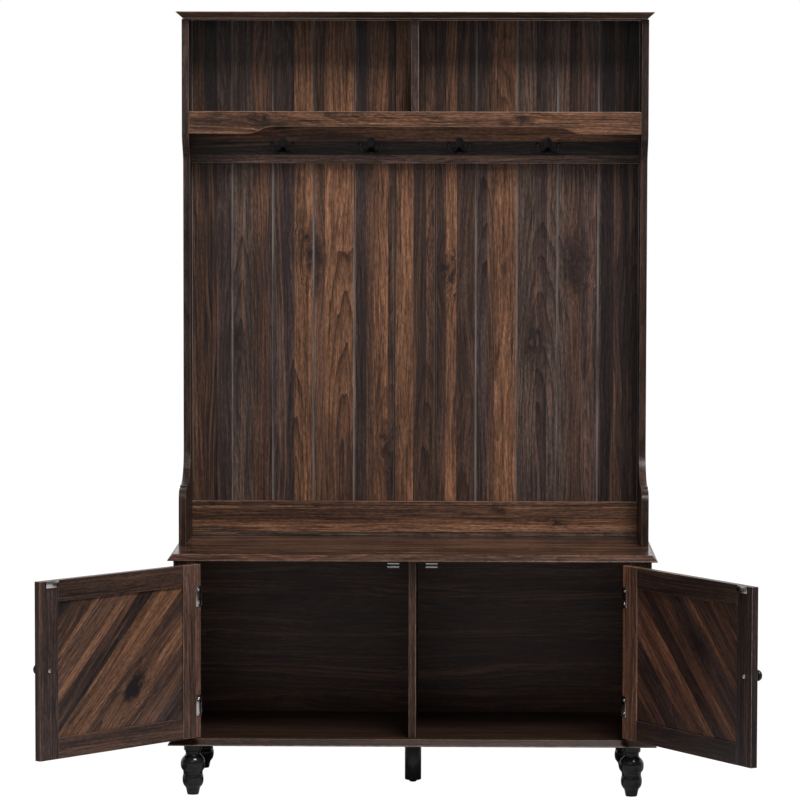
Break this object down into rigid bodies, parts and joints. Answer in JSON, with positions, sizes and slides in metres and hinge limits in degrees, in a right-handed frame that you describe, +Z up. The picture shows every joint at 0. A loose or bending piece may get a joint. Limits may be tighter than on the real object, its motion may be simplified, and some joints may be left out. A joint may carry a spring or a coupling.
{
  "type": "hall tree with hooks",
  "caption": "Entryway hall tree: storage bench with two hinged doors on turned legs, under a tall V-grooved back with coat hooks and open cubbies.",
  "frame": {"origin": "on the floor at the foot of the centre leg, half way between the front and back legs", "axes": "+X to the right of a person facing the front, +Y from the front towards the wall, +Z up"},
  "size_m": [1.4592, 0.7873, 1.64],
  "materials": {
    "walnut_laminate": "satin dark walnut laminate",
    "walnut_back_board": "satin dark walnut printed board",
    "black_painted_wood": "semi-gloss black paint",
    "black_metal": "satin black coating",
    "nickel_plate": "bright nickel plate",
    "dark_plastic": "matt dark brown"
  },
  "bodies": {
    "frame": {"back_left_leg": "black_painted_wood", "back_right_leg": "black_painted_wood", "base_rail": "walnut_laminate", "bench_top": "walnut_laminate", "bottom_board": "walnut_laminate", "cabinet_back": "walnut_back_board", "cabinet_divider": "walnut_laminate", "centre_leg": "black_painted_wood", "centre_leg_glide": "dark_plastic", "coat_hook_1": "black_metal", "coat_hook_2": "black_metal", "coat_hook_3": "black_metal", "coat_hook_4": "black_metal", "cubby_divider": "walnut_laminate", "front_left_leg": "black_painted_wood", "front_right_leg": "black_painted_wood", "hat_shelf": "walnut_laminate", "hook_rail": "walnut_laminate", "hutch_back": "walnut_back_board", "left_cabinet_side": "walnut_laminate", "left_face_stile": "walnut_laminate", "left_hutch_side": "walnut_laminate", "left_lower_hinge_frame_leaf": "nickel_plate", "left_lower_hinge_pin": "nickel_plate", "left_magnetic_catch": "dark_plastic", "left_upper_hinge_frame_leaf": "nickel_plate", "left_upper_hinge_pin": "nickel_plate", "right_cabinet_side": "walnut_laminate", "right_face_stile": "walnut_laminate", "right_hutch_side": "walnut_laminate", "right_lower_hinge_frame_leaf": "nickel_plate", "right_lower_hinge_pin": "nickel_plate", "right_magnetic_catch": "dark_plastic", "right_upper_hinge_frame_leaf": "nickel_plate", "right_upper_hinge_pin": "nickel_plate", "shelf_valance": "walnut_laminate", "top_cap": "walnut_laminate"},
    "left_door": {"left_door_bottom_rail": "walnut_laminate", "left_door_hinge_stile": "walnut_laminate", "left_door_knob": "black_metal", "left_door_meeting_stile": "walnut_laminate", "left_door_panel": "walnut_laminate", "left_door_top_rail": "walnut_laminate", "left_knob_screw": "nickel_plate", "left_lower_hinge_door_leaf": "nickel_plate", "left_strike_plate": "nickel_plate", "left_upper_hinge_door_leaf": "nickel_plate"},
    "right_door": {"right_door_bottom_rail": "walnut_laminate", "right_door_hinge_stile": "walnut_laminate", "right_door_knob": "black_metal", "right_door_meeting_stile": "walnut_laminate", "right_door_panel": "walnut_laminate", "right_door_top_rail": "walnut_laminate", "right_knob_screw": "nickel_plate", "right_lower_hinge_door_leaf": "nickel_plate", "right_strike_plate": "nickel_plate", "right_upper_hinge_door_leaf": "nickel_plate"}
  },
  "joints": [
    {"name": "left_door_hinge", "type": "hinge", "parent": "frame", "child": "left_door", "pos_m": [-0.452, -0.195, 0.3061], "axis": [0, 0, 1], "range_deg": [-38, 132]},
    {"name": "right_door_hinge", "type": "hinge", "parent": "frame", "child": "right_door", "pos_m": [0.452, -0.195, 0.3061], "axis": [0, 0, 1], "range_deg": [-122.4, 47.6]}
  ]
}
